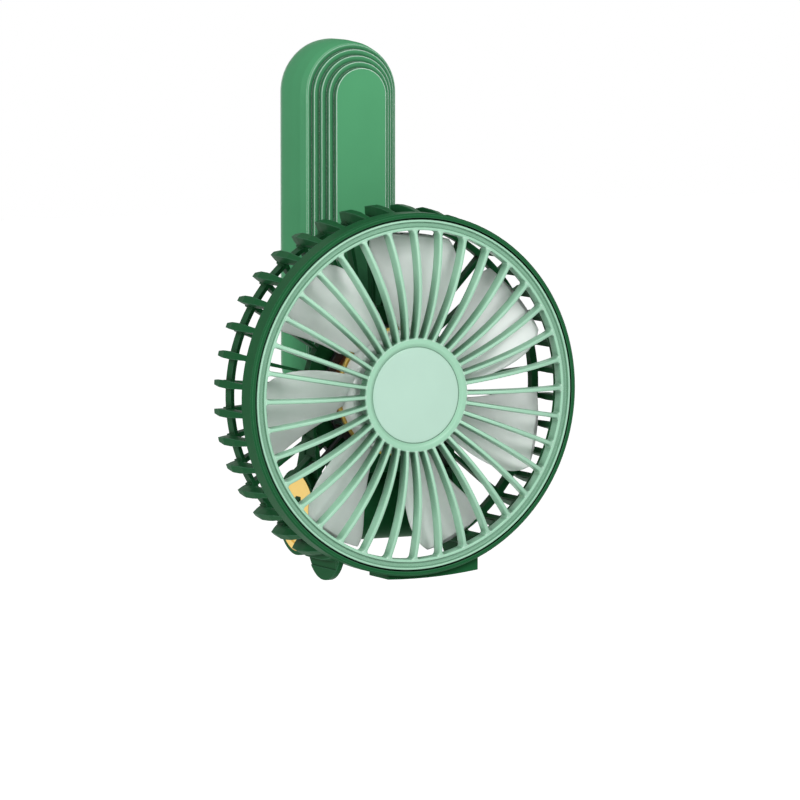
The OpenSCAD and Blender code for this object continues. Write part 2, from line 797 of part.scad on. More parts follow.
// Bars across the shell that carry the cell.
module cradle(z) {
    difference() {
        block([-grip_r + shell_wall - weld, core_front + shell_wall - weld, z],
            [grip_r - shell_wall + weld, cell_d, z + post_r]);
        translate([0, cell_d, z - over]) cylinder(r = cell_r + neck_gap, h = post_r + 2 * over);
        block([lead_side - 2 * lead_r, cell_d, z - over],
            [lead_side + 2 * lead_r, split_d, z + post_r + over]);
    }
}

module handle_front_shell() color([0.42, 0.70, 0.54]) head_frame()
    difference() {
        union() {
            difference() {
                grip_outer(0);
                capsule(grip_profile(-shell_wall), grip_bot, grip_top);
                flat_capsule(core_half, grip_front + shell_wall, core_front + shell_wall + over,
                    grip_bot, grip_top);
                block([-grip_r - over, split_d, grip_bot - grip_r - over],
                    [grip_r + over, grip_back + over, grip_top + grip_r + over]);
            }
            cradle(grip_bot + 0.37 * grip_span);
            cradle(grip_bot + 0.84 * grip_span);
            both_sides() {
                disc(post_r, core_front + shell_wall - weld, board_front, post_x, post_z);
                block([tongue_half + neck_gap, neck_pin_d - block_t, grip_bot - grip_r + shell_wall - weld],
                    [tongue_half + block_t, neck_pin_d + block_t, tongue_top]);
            }
            for (p = screw_places)
                disc(screw_boss_r, core_front + shell_wall - weld, split_d - cap_gap, p[0], p[1]);
        }
        for (p = screw_places)
            disc(screw_r + seat_clear, split_d - screw_len + screw_seat, split_d + over, p[0], p[1]);
        rod(neck_pin_r + seat_clear, -tongue_half - 0.6 * block_t - seat_clear,
            tongue_half + 0.6 * block_t + seat_clear, neck_pin_d, neck_pin_z);
        block([-tongue_half - neck_gap, tongue_d0 - neck_gap, grip_bot - grip_r - over],
            [tongue_half + neck_gap, tongue_d1 + neck_gap, grip_bot - grip_r + 3 * shell_wall]);
        block([grip_r - shell_wall - over, board_front - usb_h - neck_gap, usb_z - neck_gap],
            [grip_r + over, board_front + neck_gap, usb_z + usb_w + neck_gap]);
    }

module handle_rear_shell() color([0.36, 0.62, 0.47]) head_frame()
    difference() {
        union() {
            difference() {
                capsule(grip_profile(0), grip_bot, grip_top);
                capsule(grip_profile(-shell_wall), grip_bot, grip_top);
                block([-grip_r - over, core_front - over, grip_bot - grip_r - over],
                    [grip_r + over, split_d, grip_top + grip_r + over]);
            }
            for (p = screw_places)
                disc(screw_boss_r + seat_w, split_d, grip_back - shell_wall + weld, p[0], p[1]);
        }
        for (p = screw_places) {
            disc(screw_r + cap_gap, split_d - over, grip_back, p[0], p[1]);
            disc(screw_head_r + cap_gap, grip_back - screw_seat, grip_back + over, p[0], p[1]);
        }
        disc(button_r + button_clear, split_d, grip_back + over, 0, button_z);
        for (i = [0:light_count - 1])
            disc(light_r + seat_clear, split_d, grip_back + over,
                (i - (light_count - 1) / 2) * light_pitch, light_z);
    }

module battery_cell() color([0.20, 0.36, 0.62]) head_frame()
    translate([0, cell_d, cell_low]) cylinder(r = cell_r, h = cell_len);

module battery_contacts() color([0.78, 0.78, 0.76]) head_frame() {
    translate([0, cell_d, cell_low - tab_t]) cylinder(r = tab_r, h = tab_t);
    translate([0, cell_d, cell_top]) cylinder(r = tab_r, h = tab_t);
}

module battery_leads() color([0.75, 0.12, 0.10]) head_frame() {
    high = cell_top + tab_t + lead_r;
    low = board_top - lead_back * lead_r;
    depth = cell_d + lead_back;
    bar([lead_side, depth, low], [lead_side, depth, high], lead_r);
    translate([lead_side, depth, high]) sphere(r = lead_r);
    bar([lead_side, depth, high], [lead_tail, depth, high], lead_r);
    translate([lead_side, depth, low]) sphere(r = lead_r);
    bar([lead_side, depth, low], [lead_side, board_front, low], lead_r);
    bar([-lead_tail, cell_d + cell_r / 4, cell_low - tab_t], [-lead_tail, cell_d + cell_r / 4, low], lead_r);
    translate([-lead_tail, cell_d + cell_r / 4, low]) sphere(r = lead_r);
    bar([-lead_tail, cell_d + cell_r / 4, low], [-lead_tail, board_front, low], lead_r);
}

module circuit_board() color([0.10, 0.36, 0.22]) head_frame()
    block([-board_half, board_front, board_low], [board_half, board_back, board_top]);

module usb_socket() color([0.74, 0.75, 0.77]) head_frame()
    difference() {
        block([grip_r - usb_sink - usb_len, board_front - usb_h, usb_z],
            [grip_r - usb_sink, board_front, usb_z + usb_w]);
        difference() {
            block([grip_r - usb_sink - usb_len + 2 * usb_wall, board_front - usb_h + usb_wall,
                usb_z + usb_wall],
                [grip_r + over, board_front - usb_wall, usb_z + usb_w - usb_wall]);
            block([grip_r - usb_sink - usb_len, board_front - usb_h / 2 - usb_wall, usb_z + 3 * usb_wall],
                [grip_r - 3 * usb_wall, board_front - usb_h / 2 + usb_wall, usb_z + usb_w - 3 * usb_wall]);
        }
    }

module button_switch() color([0.16, 0.16, 0.17]) head_frame() {
    block([-switch_half, board_back, button_z - switch_half],
        [switch_half, board_back + switch_t, button_z + switch_half]);
    disc(plunger_r, board_back + switch_t - weld, button_low - button_travel - cap_gap, 0, button_z);
}

module power_button() color([0.30, 0.55, 0.41]) head_frame() {
    disc(button_r + button_skirt, button_low, button_low + skirt_t, 0, button_z);
    disc(button_r, button_low, grip_back + button_proud - seat_w, 0, button_z);
    translate([0, 0, button_z]) spun([[0, grip_back + weld], [button_r, grip_back + weld],
        [button_r, grip_back + button_proud - seat_w], [button_r - seat_w, grip_back + button_proud],
        [0, grip_back + button_proud]]);
}

module charge_leds() color([0.95, 0.95, 0.90]) head_frame()
    for (i = [0:light_count - 1])
        translate([(i - (light_count - 1) / 2) * light_pitch, 0, light_z])
            block([-chip_half, board_back, -chip_half], [chip_half, board_back + chip_t, chip_half]);

module indicator_lens() color([0.90, 0.93, 0.90]) head_frame() {
    block([-lens_half, grip_back - shell_wall - lens_low, light_z - light_r],
        [lens_half, grip_back - shell_wall, light_z + light_r]);
    for (i = [0:light_count - 1])
        disc(light_r, grip_back - shell_wall - weld, grip_back,
            (i - (light_count - 1) / 2) * light_pitch, light_z);
}

module handle_screws() color([0.64, 0.65, 0.67]) head_frame()
    for (p = screw_places)
        translate([p[0], 0, p[1]]) difference() {
            union() {
                disc(screw_r, split_d - screw_len + screw_seat + cap_gap, grip_back - screw_seat + weld);
                disc(screw_head_r, grip_back - screw_seat, grip_back - screw_seat + screw_head_t);
            }
            block([-screw_r, grip_back - screw_seat + screw_head_t / 2, -screw_r / 4],
                [screw_r, grip_back, screw_r / 4]);
            block([-screw_r / 4, grip_back - screw_seat + screw_head_t / 2, -screw_r],
                [screw_r / 4, grip_back, screw_r]);
        }

front_grille();
hub_badge();
rear_cage();
impeller();
motor_shaft();
rotor_magnet();
shaft_clip();
motor_base();
motor_front_bracket();
front_bearing();
rear_bearing();
stator_core();
stator_windings();
motor_bolts();
motor_rear_cap();
motor_lead();
hinge_pin_left();
hinge_pin_right();
hinge_cap_left();
hinge_cap_right();
friction_washers();
hinge_arm();
neck_pin();
handle_front_shell();
handle_rear_shell();
battery_cell();
battery_contacts();
battery_leads();
circuit_board();
usb_socket();
button_switch();
power_button();
charge_leds();
indicator_lens();
handle_screws();
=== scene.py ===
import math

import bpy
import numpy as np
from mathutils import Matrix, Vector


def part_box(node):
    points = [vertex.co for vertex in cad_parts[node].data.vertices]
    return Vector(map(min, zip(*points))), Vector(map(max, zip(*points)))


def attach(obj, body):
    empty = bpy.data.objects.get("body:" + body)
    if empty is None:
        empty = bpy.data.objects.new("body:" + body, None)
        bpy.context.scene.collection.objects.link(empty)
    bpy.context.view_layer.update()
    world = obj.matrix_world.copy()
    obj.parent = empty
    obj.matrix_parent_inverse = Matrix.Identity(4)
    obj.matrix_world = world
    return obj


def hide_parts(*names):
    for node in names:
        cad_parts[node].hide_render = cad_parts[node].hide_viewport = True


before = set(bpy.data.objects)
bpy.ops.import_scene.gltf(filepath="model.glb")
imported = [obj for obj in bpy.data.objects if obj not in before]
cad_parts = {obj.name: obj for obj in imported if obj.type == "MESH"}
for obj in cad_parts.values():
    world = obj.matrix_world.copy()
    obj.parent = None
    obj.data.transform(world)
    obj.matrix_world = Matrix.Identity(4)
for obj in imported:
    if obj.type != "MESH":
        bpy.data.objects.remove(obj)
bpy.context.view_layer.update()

# %% [markdown]
# # A folding hand fan, dressed over its solid model
# The solid model gives every piece its place. This lesson keeps most of those
# solids and gives them finishes. It rebuilds only the few pieces whose soft
# edges carry the look: the front grille, its badge and the impeller. Lengths
# are written in millimetres and turned into metres where the points are made.

MM = 0.001
BADGE_RISE = 0.2
badge_low, badge_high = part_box("hub_badge")
axis_z = (badge_low[2] + badge_high[2]) / 2
front_y = badge_low[1] + BADGE_RISE * MM
print("fan axis at height", round(axis_z, 4), "rim front at", round(front_y, 4))

# %% [markdown]
# Every rebuilt surface is a grid of points: rows along the piece, columns
# around it. Blender wants faces too, so the first helper names the four
# corners of each cell. A grid may close on itself in either direction, as the
# outline of a ring does.

# %% The faces of a grid
def grid_faces(rows, cols, wrap_rows, wrap_cols):
    """Quads of a rows by cols grid: each joins point (i, j) to its three next
    neighbours, and the last row or column joins the first where it wraps."""
    i = np.arange(rows if wrap_rows else rows - 1)
    j = np.arange(cols if wrap_cols else cols - 1)
    i, j = np.meshgrid(i, j, indexing="ij")
    a, b = (i + 1) % rows, (j + 1) % cols
    return np.stack([i * cols + j, a * cols + j, a * cols + b, i * cols + b], -1).reshape(-1, 4)

# %% [markdown]
# A face has an outside. Rather than think about the winding of each formula,
# the next helper measures the volume inside the faces. Where it comes out
# negative they point inwards, and the whole grid is turned over.

# %% Which way the faces point
def swept_volume(points, faces):
    """Six times the volume inside the faces: the sum of a . (b x c) over the
    triangles of each face."""
    total = 0.0
    for size in {len(f) for f in faces}:
        ring = points[np.array([f for f in faces if len(f) == size])]
        for k in range(1, size - 1):
            total += np.einsum("ij,ij->", ring[:, 0], np.cross(ring[:, k], ring[:, k + 1]))
    return total

# %% [markdown]
# A piece can hold several grids, such as a rim and its ribs. They go into one
# mesh, with a cap over each open end, so that every one is a closed solid. The
# piece then says what it rides on and which finish it takes, and the solid of
# the model that it takes the place of is hidden.

# %% From grids to one piece
SMOOTH_BELOW = math.radians(50)


def solid(name, grids, body, material, node):
    """Joins grids of (points, wrap rows, wrap cols, capped) into one object
    and turns the faces of each grid outwards."""
    verts, faces, start = [], [], 0
    for points, wrap_rows, wrap_cols, capped in grids:
        rows, cols = points.shape[:2]
        flat = points.reshape(-1, 3)
        own = grid_faces(rows, cols, wrap_rows, wrap_cols).tolist()
        if capped:
            own += [list(range(cols)), list(range(rows * cols - 1, (rows - 1) * cols - 1, -1))]
        if swept_volume(flat - flat.mean(0), own) < 0:
            own = [f[::-1] for f in own]
        verts.append(flat)
        faces += [[v + start for v in f] for f in own]
        start += rows * cols
    mesh = bpy.data.meshes.new(name)
    mesh.from_pydata(np.concatenate(verts).tolist(), [], faces)
    mesh.validate()
    mesh.shade_smooth()
    mesh.set_sharp_from_angle(angle=SMOOTH_BELOW)
    mesh.materials.append(material)
    piece = bpy.data.objects.new(name, mesh)
    bpy.context.scene.collection.objects.link(piece)
    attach(piece, body)
    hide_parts(node)
    print(name, len(mesh.vertices), "points,", len(mesh.polygons), "faces")

# %% [markdown]
# The rim, the hub ring and the badge are round, so each is a profile turned
# about the fan axis. A profile is easier to read as its few sharp corners with
# a radius at each, and the second helper rounds them. The wider a ring, the
# more sides it gets, so that none of them shows as a polygon.

# %% Turned profiles with round corners
RIM_SIDES, HUB_SIDES, DISC_SIDES, SEAT_SIDES = 360, 240, 160, 120
AXIS_R = 0.02


def turned(profile, sides):
    """A profile of (radius, depth) points in mm turned about the fan axis:
    x = r cos t, y = front + depth, z = axis + r sin t. A disc starts at
    AXIS_R, because at radius nought its innermost faces would have no area."""
    t = np.linspace(0, 2 * np.pi, sides, endpoint=False)[None, :]
    r, d = np.array(profile, float).T[..., None]
    return np.stack([r * np.cos(t) * MM, front_y + d * MM + 0 * t, axis_z + r * np.sin(t) * MM], -1)


def rounded(corners, steps=4):
    """Replaces each corner (r, d, radius) of an outline by a short curve: a
    quadratic blend from the point before the corner to the point after it."""
    c = np.array(corners, float)
    out = []
    for k in range(len(c)):
        p, q, s = c[k - 1, :2], c[k, :2], c[(k + 1) % len(c), :2]
        r = c[k, 2]
        if r == 0:
            out.append(q[None])
            continue
        a = q + (p - q) / np.linalg.norm(p - q) * r
        b = q + (s - q) / np.linalg.norm(s - q) * r
        u = np.linspace(0, 1, steps + 1)[:, None]
        out.append((1 - u) ** 2 * a + 2 * u * (1 - u) * q + u ** 2 * b)
    return np.concatenate(out)

# %% [markdown]
# A finish is a small tree of shader nodes. These helpers keep the trees short:
# one adds a node with its values, and one joins sockets by their names. A Mix
# node has a hidden socket of the same name for each type, so the name alone
# isn't enough, and the one in use is taken.

# %% Shader helpers
def node_of(tree, kind, **values):
    """Adds a shader node and sets its inputs by name."""
    node = tree.nodes.new(kind)
    for key, value in values.items():
        node.inputs[key.replace("_", " ")].default_value = value
    return node


def socket(ports, name):
    """The port with that number, or the one in use with that name."""
    return ports[name] if isinstance(name, int) else [s for s in ports if s.name == name and s.enabled][0]


def join(tree, *wires):
    """Joins each (node, its output, other node, its input)."""
    for a, out, b, into in wires:
        tree.links.new(socket(a.outputs, out), socket(b.inputs, into))


def vector_math(tree, operation):
    """Adds a Vector Math node for that operation."""
    node = tree.nodes.new("ShaderNodeVectorMath")
    node.operation = operation
    return node


def colour_mix(tree, **ends):
    """Adds a Mix node for colours and sets its A and B, where given."""
    node = tree.nodes.new("ShaderNodeMix")
    node.data_type = "RGBA"
    for key, colour in ends.items():
        socket(node.inputs, key).default_value = (*colour, 1)
    return node


def finish_of(name):
    """A new material, with its node tree and its Principled shader."""
    material = bpy.data.materials.new(name)
    material.use_nodes = True
    return material, material.node_tree, material.node_tree.nodes["Principled BSDF"]

# %% [markdown]
# Moulded plastic isn't one flat colour. Its tint drifts a little from place to
# place. Its edges are round and catch the light, and that light is painted on as a
# paler colour along them. The Bevel node rounds the edges of the solids for the
# light only, and where its normal leaves the true one there is an edge, so the
# same node says where to paint the highlight.

# %% The colour of plastic: drift and painted edge highlights
DRIFT_DETAIL, EDGE_STARTS, EDGE_FULL = 3.0, 0.995, 0.85


def drifting(tree, place, colour, tint, cloud):
    """Colour times 1 - tint to 1 + tint, by a slow noise."""
    drift = node_of(tree, "ShaderNodeTexNoise", Scale=cloud, Detail=DRIFT_DETAIL)
    vary = node_of(tree, "ShaderNodeMapRange", To_Min=1 - tint, To_Max=1 + tint)
    shade = vector_math(tree, "SCALE")
    shade.inputs[0].default_value = colour
    join(tree, (place, "Object", drift, "Vector"), (drift, "Fac", vary, "Value"),
         (vary, "Result", shade, "Scale"))
    return shade


def painted_edge_highlight(tree, shade, round_edge, highlight_colour, edge):
    """Mixes in a painted highlight, a paler colour, up to edge, as the dot product
    of the rounded and the true normal falls."""
    true = tree.nodes.new("ShaderNodeNewGeometry")
    dot = vector_math(tree, "DOT_PRODUCT")
    mask = node_of(tree, "ShaderNodeMapRange", From_Min=EDGE_STARTS, From_Max=EDGE_FULL, To_Max=edge)
    pale = colour_mix(tree, B=highlight_colour)
    join(tree, (true, "True Normal", dot, 0), (round_edge, "Normal", dot, 1), (dot, "Value", mask, "Value"),
         (mask, "Result", pale, "Factor"), (shade, "Vector", pale, "A"))
    return pale

# %% [markdown]
# Light that reaches a narrow corner has bounced between coloured walls, so
# the corner is darker and also more strongly coloured. Ambient occlusion finds
# such places, and there that shade is painted in: the colour is multiplied by a
# dark tone of its hue.

# %% The colour of plastic: painted shade in corners
CORNER_DARK, CORNER_OPEN, HUE_POWER, SAMPLES = 0.45, 0.95, 0.8, 6


def painted_corner_shade(tree, pale, colour, deep, span):
    """Painted shade: colour times deep (c / strongest c) ^ power where other
    walls within span mm take the light, and times 1 in the open."""
    corner = node_of(tree, "ShaderNodeAmbientOcclusion", Distance=span * MM)
    corner.samples = SAMPLES
    reach = node_of(tree, "ShaderNodeMapRange", From_Min=CORNER_DARK, From_Max=CORNER_OPEN)
    tone = [deep * (c / max(colour)) ** HUE_POWER for c in colour]
    hue = colour_mix(tree, A=tone, B=(1, 1, 1))
    dim = vector_math(tree, "MULTIPLY")
    join(tree, (corner, "AO", reach, "Value"), (reach, "Result", hue, "Factor"),
         (pale, "Result", dim, 0), (hue, "Result", dim, 1))
    return dim

# %% [markdown]
# The handle's flank is a little crowned on a real moulding, and its front half
# catches the side lamp. The solid's flank is flat. Leaning its normal with the
# depth lights it as a crowned one would be, and leaves the shape alone. The
# lean is turned with the piece, so that it still fits when the handle unfolds.

# %% A crowned flank
LEAN_FRONT, LEAN_BACK = -1.2, 0.35


def crown_normal(tree, place, round_edge, ends):
    """Normal + lean along y, made one long again: the lean goes from
    LEAN_FRONT at the first of the ends to LEAN_BACK at the other."""
    apart = tree.nodes.new("ShaderNodeSeparateXYZ")
    slope = node_of(tree, "ShaderNodeMapRange", From_Min=ends[0], From_Max=ends[1],
                    To_Min=LEAN_FRONT, To_Max=LEAN_BACK)
    lean = tree.nodes.new("ShaderNodeCombineXYZ")
    along = tree.nodes.new("ShaderNodeVectorTransform")
    along.vector_type, along.convert_from, along.convert_to = "VECTOR", "OBJECT", "WORLD"
    tilted = vector_math(tree, "ADD")
    unit = vector_math(tree, "NORMALIZE")
    join(tree, (place, "Object", apart, "Vector"), (apart, "Y", slope, "Value"), (slope, "Result", lean, "Y"),
         (lean, "Vector", along, "Vector"), (along, "Vector", tilted, 0), (round_edge, "Normal", tilted, 1),
         (tilted, "Vector", unit, 0))
    return unit, "Vector"

# %% [markdown]
# All of that goes into one function for plastic, with a fine grain on top of
# the rounded normal, as a mould leaves it. The blades are milky, so some light
# goes into them and comes out elsewhere.

# %% Plastic
PLASTIC_IOR, MILK_DEPTH = 1.5, 0.004
GRAIN_SCALE, GRAIN_DETAIL, GRAIN_STRENGTH, GRAIN_HEIGHT = 1400.0, 2.0, 0.05, 0.0002
PALER, PALE_LIFT = 1.5, 0.06


def plastic(name, colour, rough=0.4, edge=0.35, radius=0.35, highlight_colour=None, deep=0.6, span=2.2,
            tint=0.07, cloud=60.0, gloss=0.5, milk=0.0, crowned=None):
    """A moulded plastic. Edges of that radius in mm get a painted highlight, a
    paler colour mixed in up to edge, corners get painted shade down to deep, milk
    is the share of light that goes in, and crowned gives the two depths between
    which the normal leans."""
    material, tree, shader = finish_of(name)
    shader.inputs["Roughness"].default_value = rough
    shader.inputs["IOR"].default_value = PLASTIC_IOR
    shader.inputs["Specular IOR Level"].default_value = gloss
    if milk:
        shader.inputs["Subsurface Weight"].default_value = milk
        shader.inputs["Subsurface Scale"].default_value = MILK_DEPTH
        shader.inputs["Subsurface Radius"].default_value = (1.0, 1.0, 1.0)
    place = tree.nodes.new("ShaderNodeTexCoord")
    round_edge = node_of(tree, "ShaderNodeBevel", Radius=radius * MM)
    round_edge.samples = SAMPLES
    # By default the painted edge highlight is the colour made paler.
    highlight_colour = highlight_colour or [min(1, c * PALER + PALE_LIFT) for c in colour]
    shade = drifting(tree, place, colour, tint, cloud)
    # A painted highlight goes along the edges.
    pale = painted_edge_highlight(tree, shade, round_edge, highlight_colour, edge)
    # Painted shade goes into the corners.
    dim = painted_corner_shade(tree, pale, colour, deep, span)
    speck = node_of(tree, "ShaderNodeTexNoise", Scale=GRAIN_SCALE, Detail=GRAIN_DETAIL)
    bump = node_of(tree, "ShaderNodeBump", Strength=GRAIN_STRENGTH, Distance=GRAIN_HEIGHT)
    under = crown_normal(tree, place, round_edge, crowned) if crowned else (round_edge, "Normal")
    join(tree, (dim, "Vector", shader, "Base Color"), (place, "Object", speck, "Vector"),
         (speck, "Fac", bump, "Height"), (*under, bump, "Normal"), (bump, "Normal", shader, "Normal"))
    return material

# %% [markdown]
# The fan has three greens. The grille is pale, with a painted highlight almost
# white along its ribs. The cage is dark and matt. The handle lies between
# them, with painted shade in the lines between its steps and painted highlights
# on their crests.

# %% The plastics
MINT = plastic("mint_plastic", (0.33, 0.60, 0.43), rough=0.3, edge=0.7, radius=0.3, deep=0.3, gloss=0.3,
               highlight_colour=(0.80, 0.95, 0.86), span=5)
MINT_PALE = plastic("mint_badge", (0.45, 0.655, 0.545), rough=0.4, radius=0.2, gloss=0.3)
DARK = plastic("dark_green_plastic", (0.013, 0.098, 0.033), rough=0.45, edge=0.5, radius=0.5, gloss=0.03,
               deep=0.3, highlight_colour=(0.11, 0.27, 0.17))
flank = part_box("handle_front_shell")[0][1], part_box("handle_rear_shell")[1][1]
GRIP = plastic("handle_green_plastic", (0.085, 0.33, 0.155), rough=0.34, edge=0.95, radius=0.5, deep=0.08,
               gloss=0.04, highlight_colour=(0.78, 0.95, 0.86), crowned=flank)
MILK = plastic("milky_plastic", (0.90, 0.94, 0.92), rough=0.25, edge=0.2, radius=0.3, milk=0.35,
               deep=0.75, tint=0.14, cloud=90.0)
BLACK = plastic("black_plastic", (0.02, 0.021, 0.022), rough=0.5, edge=0.2)
BOARD = plastic("board_green", (0.02, 0.13, 0.06), rough=0.3, edge=0.2, radius=0.1)
SLEEVE = plastic("cell_sleeve_blue", (0.05, 0.16, 0.42), rough=0.25, edge=0.1)
WIRE = plastic("red_wire_sleeve", (0.45, 0.03, 0.02), rough=0.5, edge=0.1, radius=0.1)
CLEAR = plastic("light_pipe_plastic", (0.78, 0.84, 0.80), rough=0.15, edge=0.1, radius=0.1, milk=0.5)
print("plastic finishes made")

# %% [markdown]
# The metal pieces are small: the yellow hinge caps, the copper coils, the
# screws. Stretched noise gives them turning marks or wound wire, in their
# gloss as well as their surface, and the Bevel node rounds their edges.

# %% Metal
MARK_DETAIL, MARK_HEIGHT, GLOSS_LOW, GLOSS_HIGH, METAL_SAMPLES = 4.0, 0.0001, 0.7, 1.4, 4


def metal(name, colour, rough=0.3, stretch=(1, 1, 1), scale=500, depth=0.3, radius=0.15):
    """A metal whose stretched noise moves its roughness between two shares of
    rough, and raises marks of that depth on its surface."""
    material, tree, shader = finish_of(name)
    shader.inputs["Metallic"].default_value = 1.0
    shader.inputs["Base Color"].default_value = (*colour, 1)
    place = tree.nodes.new("ShaderNodeTexCoord")
    turn = node_of(tree, "ShaderNodeMapping", Scale=stretch)
    marks = node_of(tree, "ShaderNodeTexNoise", Scale=float(scale), Detail=MARK_DETAIL)
    gloss = node_of(tree, "ShaderNodeMapRange", To_Min=rough * GLOSS_LOW, To_Max=rough * GLOSS_HIGH)
    bump = node_of(tree, "ShaderNodeBump", Strength=depth, Distance=MARK_HEIGHT)
    round_edge = node_of(tree, "ShaderNodeBevel", Radius=radius * MM)
    round_edge.samples = METAL_SAMPLES
    join(tree, (place, "Object", turn, "Vector"), (turn, "Vector", marks, "Vector"),
         (marks, "Fac", gloss, "Value"), (gloss, "Result", shader, "Roughness"),
         (marks, "Fac", bump, "Height"), (round_edge, "Normal", bump, "Normal"),
         (bump, "Normal", shader, "Normal"))
    return material


BRASS = metal("yellow_brass", (0.83, 0.58, 0.16), rough=0.3, stretch=(4, 1, 1))
BRONZE = metal("sintered_bronze", (0.50, 0.31, 0.14), rough=0.45)
COPPER = metal("copper_wire", (0.72, 0.26, 0.10), rough=0.32, stretch=(1, 12, 1), scale=300, depth=0.8)
STEEL = metal("plated_steel", (0.62, 0.63, 0.65), rough=0.28)
CORE = metal("stacked_steel", (0.32, 0.32, 0.34), rough=0.4, stretch=(1, 20, 1), scale=400, depth=0.6)
MAGNET = metal("ferrite", (0.07, 0.07, 0.075), rough=0.55)
NICKEL = metal("nickel", (0.66, 0.65, 0.61), rough=0.25)
print("metal finishes made")

# %% [markdown]
# The solids that already have the right shape only need a finish each. They
# could be built again with soft edges, but the Bevel node in each finish gives
# them those. It goes into the object's own material slot, and the mesh stays
# as it is.

# %% Finishes for the solids
finishes = {
    "rear_cage": DARK, "motor_rear_cap": DARK, "hinge_arm": DARK,
    "handle_front_shell": GRIP, "handle_rear_shell": GRIP, "power_button": MINT,
    "motor_front_bracket": BRASS, "hinge_cap_left": BRASS, "hinge_cap_right": BRASS,
    "front_bearing": BRONZE, "rear_bearing": BRONZE, "stator_windings": COPPER,
    "stator_core": CORE, "rotor_magnet": MAGNET, "motor_shaft": STEEL, "shaft_clip": STEEL,
    "motor_bolts": STEEL, "hinge_pin_left": STEEL, "hinge_pin_right": STEEL, "neck_pin": STEEL,
    "handle_screws": STEEL, "battery_contacts": NICKEL, "usb_socket": NICKEL,
    "motor_base": BLACK, "button_switch": BLACK, "friction_washers": BLACK,
    "motor_lead": BLACK, "battery_leads": WIRE, "battery_cell": SLEEVE, "circuit_board": BOARD,
    "charge_leds": CLEAR, "indicator_lens": CLEAR,
}
for name, finish in finishes.items():
    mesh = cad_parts[name].data
    mesh.materials.clear()
    mesh.materials.append(finish)
print(len(finishes), "solids finished")

# %% [markdown]
# The grille is a rim, a hub ring and 36 ribs that bow forward. A rib could be
# a bent bar, but its ends aren't straight: each gap between two ribs is a slot
# with round ends, so a rib widens into the hub and the rim. The formulas below
# give the bow and that width at every radius.

# %% The line of a rib
RIBS, RIB_W, BOW, RISE = 36, 1.4, 2.98, 0.7
HUB_R, LIP_IN, SLOT_IN, CORNER = 16.4, 47.6, 16.2, 1.0


def crown(r):
    """Height of the rib fronts before the rim: the hub's rise fades out along
    the radius, plus a parabola that is highest half way."""
    u = (r - HUB_R) / (LIP_IN - HUB_R)
    return RISE * (1 - u) + 4 * BOW * u * (1 - u)


def rib_half_width(r):
    """Half the rib at radius r: half the pitch less half the gap, where the
    gap is cut off by a circle at its inner end and by two at its outer end."""
    half = math.pi / RIBS
    near = (SLOT_IN - RIB_W / 2) / (1 - math.sin(half))
    near_r = near * math.sin(half) - RIB_W / 2
    gap = r * math.tan(half) - RIB_W / 2 / math.cos(half)
    inner = np.sqrt(np.clip(near_r ** 2 - (r - near) ** 2, 0, None))
    gap = np.where(r < near, np.minimum(gap, inner), gap)
    far = LIP_IN - CORNER
    outer = far * math.tan(half) - RIB_W / 2 / math.cos(half) - CORNER
    outer = outer + np.sqrt(np.clip(CORNER ** 2 - (r - far) ** 2, 0, None))
    gap = np.where(r > far, np.minimum(gap, outer), gap)
    return r * math.tan(half) - gap

# %% [markdown]
# A rib is then one small outline, round at the front and nearly square at the
# back, carried outwards along that line. The rows crowd together near both
# ends, where the width changes fast.

# %% The ribs
RIB_DEPTH, RIB_ROWS, ROOTED, LIP_SKIN = 3.6, 44, 0.3, 0.01
FRONT_ROUND, BACK_ROUND, ROUND_STEPS = 0.62, 0.25, 5


def rib_grid(turn):
    """A rib at angle turn: radii spaced as half a cosine wave, and at each the
    outline times (half width, depth), moved forward by the crown."""
    s = np.linspace(0, 1, RIB_ROWS)
    r = HUB_R - ROOTED + (LIP_IN - HUB_R + 2 * ROOTED) * (0.5 - 0.5 * np.cos(np.pi * s))
    half = rib_half_width(np.clip(r, SLOT_IN, LIP_IN - LIP_SKIN))
    outline = rounded([(-1, 0, FRONT_ROUND), (1, 0, FRONT_ROUND), (1, 1, BACK_ROUND), (-1, 1, BACK_ROUND)],
                      ROUND_STEPS)
    across = outline[:, 0][None, :] * half[:, None]
    depth = outline[:, 1][None, :] * RIB_DEPTH - crown(r)[:, None]
    r = r[:, None] + 0 * across
    x = r * math.cos(turn) - across * math.sin(turn)
    z = r * math.sin(turn) + across * math.cos(turn)
    return np.stack([x * MM, front_y + depth * MM, axis_z + z * MM], -1)


ribs = [(rib_grid(2 * math.pi * k / RIBS), False, True, True) for k in range(RIBS)]
print(RIBS, "ribs, highest", round(float(crown((HUB_R + LIP_IN) / 2)), 2), "mm before the rim")

# %% [markdown]
# The rim has a shallow channel between two crests, which shows as a darker
# line between two bright ones. Its profile goes from the inner lip over the
# inner crest, through the channel and over the outer crest to the outside.

# %% The rim
LIP_FOOT, LIP_TOP, LIP_BACK, LIP_FRONT = 47.45, 47.55, 3.5, 0.05
INNER_CREST, OUTER_CREST, RIM_R, RIM_BACK = 48.35, 50.0, 50.6, 3.6
CHANNEL_IN, CHANNEL_OUT, CHANNEL = 48.6, 49.7, 0.8
rim = turned(rounded([
    (LIP_FOOT, LIP_BACK, 0.1), (LIP_TOP, LIP_FRONT, 0.35), (INNER_CREST, 0, 0.15),
    (CHANNEL_IN, CHANNEL, 0.2), (CHANNEL_OUT, CHANNEL, 0.2), (OUTER_CREST, 0, 0.15),
    (RIM_R, 0, 0.3), (RIM_R, RIM_BACK, 0.15)]), RIM_SIDES)
print("rim of radius", RIM_R, "mm with a channel", round(CHANNEL_OUT - CHANNEL_IN, 2), "mm wide")

# %% [markdown]
# The hub ring stands a little forward of the rim. It could meet the badge in a
# straight wall, but that shows as a thin black line. A slope down to the badge
# is dark above and bright below, as a pressed edge is. Behind the badge lies
# its seat, a plain disc. Rim, ribs, ring and seat make one grille.

